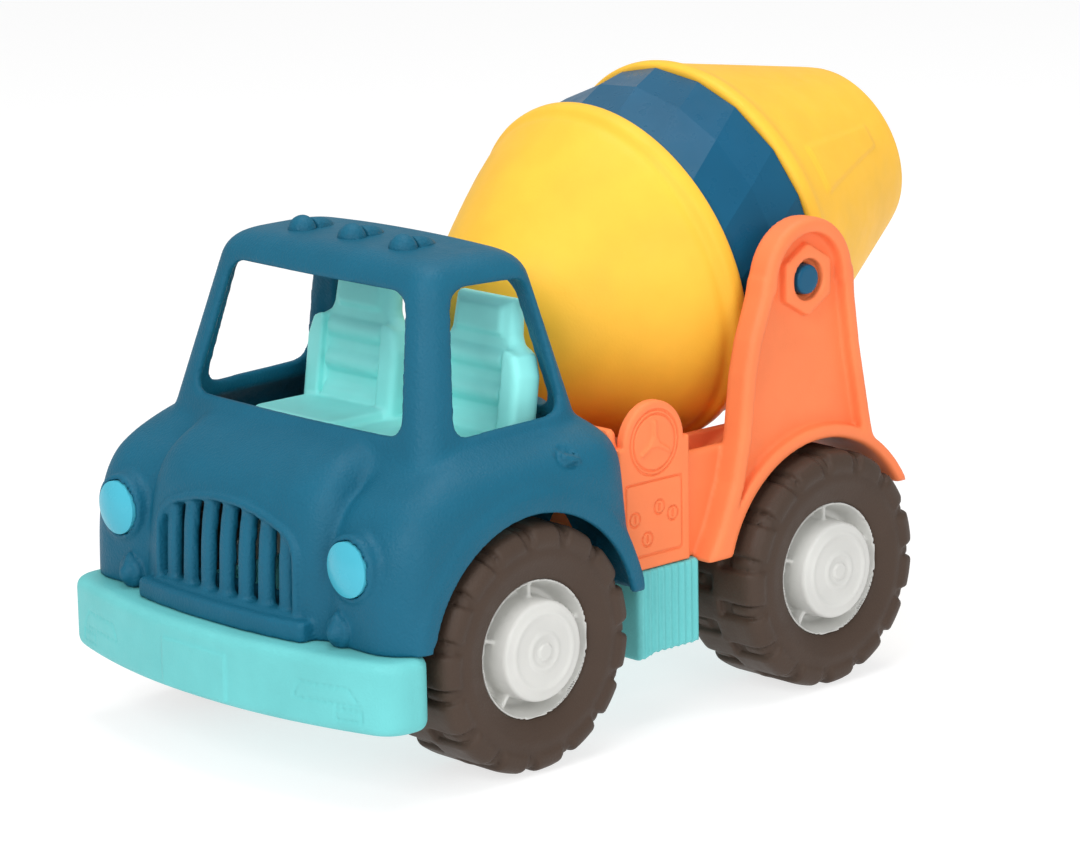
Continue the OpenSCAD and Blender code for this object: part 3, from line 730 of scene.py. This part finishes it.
def hub_solid(x, y, z):
    """A left hub: rim, web and a raised middle disc with fine rings."""
    r, turn, _ = wheel_fields(x, y, z)
    bowl = 17.9 + 3.9 * (y - 68) / 9.8
    rim = both(both(r - 22.2, np.minimum(np.maximum(bowl, 19.2), 21.7) - r), slab(y, 47.5, 77.8), 0.2)
    rim = join(rim, both(both(bowl - r, r - 22), slab(y, 66, 77.8)))
    disc_top = 82.2 - 0.0016 * r * r
    rings = 0.6 * np.exp(-((r - 5.6) / 0.8) ** 2) + 0.5 * np.exp(-((r - 12.2) / 0.9) ** 2)
    rings = rings + 0.7 * (r < 2.8)
    middle = both(r - 16.6 + 0.05 * (y - 70), slab(y, 66, disc_top - 0.5 + rings), 1.3)
    web = both(r - 20.5, slab(y, 66, 70))
    core = both(r - 8, slab(y, 51.5, 67))
    solid = join(join(rim, middle), join(web, core), 1)
    along = about_nearest(turn - math.pi / 2, 2 * math.pi / HUB_RIBS) * r
    ribs = both(np.abs(along) - 0.7, both(slab(r, 15, 21), slab(y, 66, 75.5)), 0.5)
    solid = join(solid, ribs, 0.6)
    return cut(solid, both(r - 2.6, y - 70))


def wheel_mesh(solid, reach, step):
    (x, y, z), start = grid((-reach, 44.5, -reach), (reach, 83.5, reach), step * COARSE)
    return skin(solid(x, y, z), start, step * COARSE)


tyre_verts, tyre_faces = wheel_mesh(tyre_solid, 41, 0.8)
hub_verts, hub_faces = wheel_mesh(hub_solid, 23.5, 0.6)
for end, x in (("front", axle_x), ("rear", rear_x)):
    for hand, sign in (("left", 1), ("right", -1)):
        place = np.array([x, 0, axle_z]) * MM
        flip = np.array([1, sign, 1])
        for kind, verts, faces, material, slot in (
            ("tyre", tyre_verts, tyre_faces, brown, "tyre_brown"),
            ("hub", hub_verts, hub_faces, white, "hub_plastic"),
        ):
            node = f"{kind}_{end}_{hand}"
            mesh_piece("look_" + node, verts * flip + place, faces[:, ::sign],
                       material, end + "_wheels", [node])

# ---------------------------------------------------------------- CAD nodes that keep their shape

for node, material in (
    ("front_axle_cover", teal),
    ("rear_axle_cover", teal),
    ("headlight_left", sky),
    ("headlight_right", sky),
    ("front_axle", steel),
    ("rear_axle", steel),
    ("body_screws", steel),
    ("axle_cover_screws", steel),
):
    kept = bpy.data.objects[node]
    for material_slot in kept.material_slots:
        material_slot.material = material

# ---------------------------------------------------------------- camera, light and floor


def studio():
    """The camera at the solved angle, a white floor with a faint shadow, and soft lamps."""
    scene = bpy.context.scene
    azimuth, elevation, roll = (math.radians(a) for a in (47.15, 12.98, -1.0))
    target = Vector((0.00366, 0.00341, 0.08828))
    distance = 1.4154
    level = math.cos(elevation)
    back = Vector((math.cos(azimuth) * level, math.sin(azimuth) * level, math.sin(elevation)))
    right = (-back).cross(Vector((0, 0, 1))).normalized()
    up = right.cross(-back)
    side = right * math.cos(roll) + up * math.sin(roll)
    top = up * math.cos(roll) - right * math.sin(roll)
    camera = bpy.data.objects.new("camera", bpy.data.cameras.new("camera"))
    camera.data.lens = 142.56
    camera.data.sensor_width = 36
    rotation = Matrix((side, top, back)).transposed().to_4x4()
    camera.matrix_world = Matrix.Translation(target + back * distance) @ rotation
    scene.collection.objects.link(camera)
    scene.camera = camera

    floor_material = bpy.data.materials.new("floor_white")
    floor_material.use_nodes = True
    paper = floor_material.node_tree.nodes["Principled BSDF"]
    paper.inputs["Base Color"].default_value = (0.35, 0.35, 0.35, 1)
    paper.inputs["Roughness"].default_value = 0.9
    paper.inputs["Emission Color"].default_value = (1, 1, 1, 1)
    paper.inputs["Emission Strength"].default_value = 0.72
    bpy.ops.mesh.primitive_plane_add(size=8, location=(0, 0, 0))
    floor = bpy.context.object
    floor.name = "floor"
    floor.data.materials.append(floor_material)

    world = bpy.data.worlds.new("studio")
    world.use_nodes = True
    world.node_tree.nodes["Background"].inputs["Color"].default_value = (1, 1, 1, 1)
    world.node_tree.nodes["Background"].inputs["Strength"].default_value = 0.5
    scene.world = world

    def area(name, where, size, power):
        lamp = bpy.data.lights.new(name, "AREA")
        lamp.size = size
        lamp.energy = power
        light = bpy.data.objects.new(name, lamp)
        light.location = where
        light.rotation_euler = (Vector((0, 0, 0.1)) - Vector(where)).to_track_quat("-Z", "Y").to_euler()
        scene.collection.objects.link(light)

    area("key", (1.3, 0.5, 1.0), 0.7, 11)
    area("fill", (0.5, 1.5, 0.7), 0.9, 8)
    area("top", (-0.1, 0.0, 1.6), 1.0, 12)
    scene.view_settings.view_transform = "Standard"


studio()
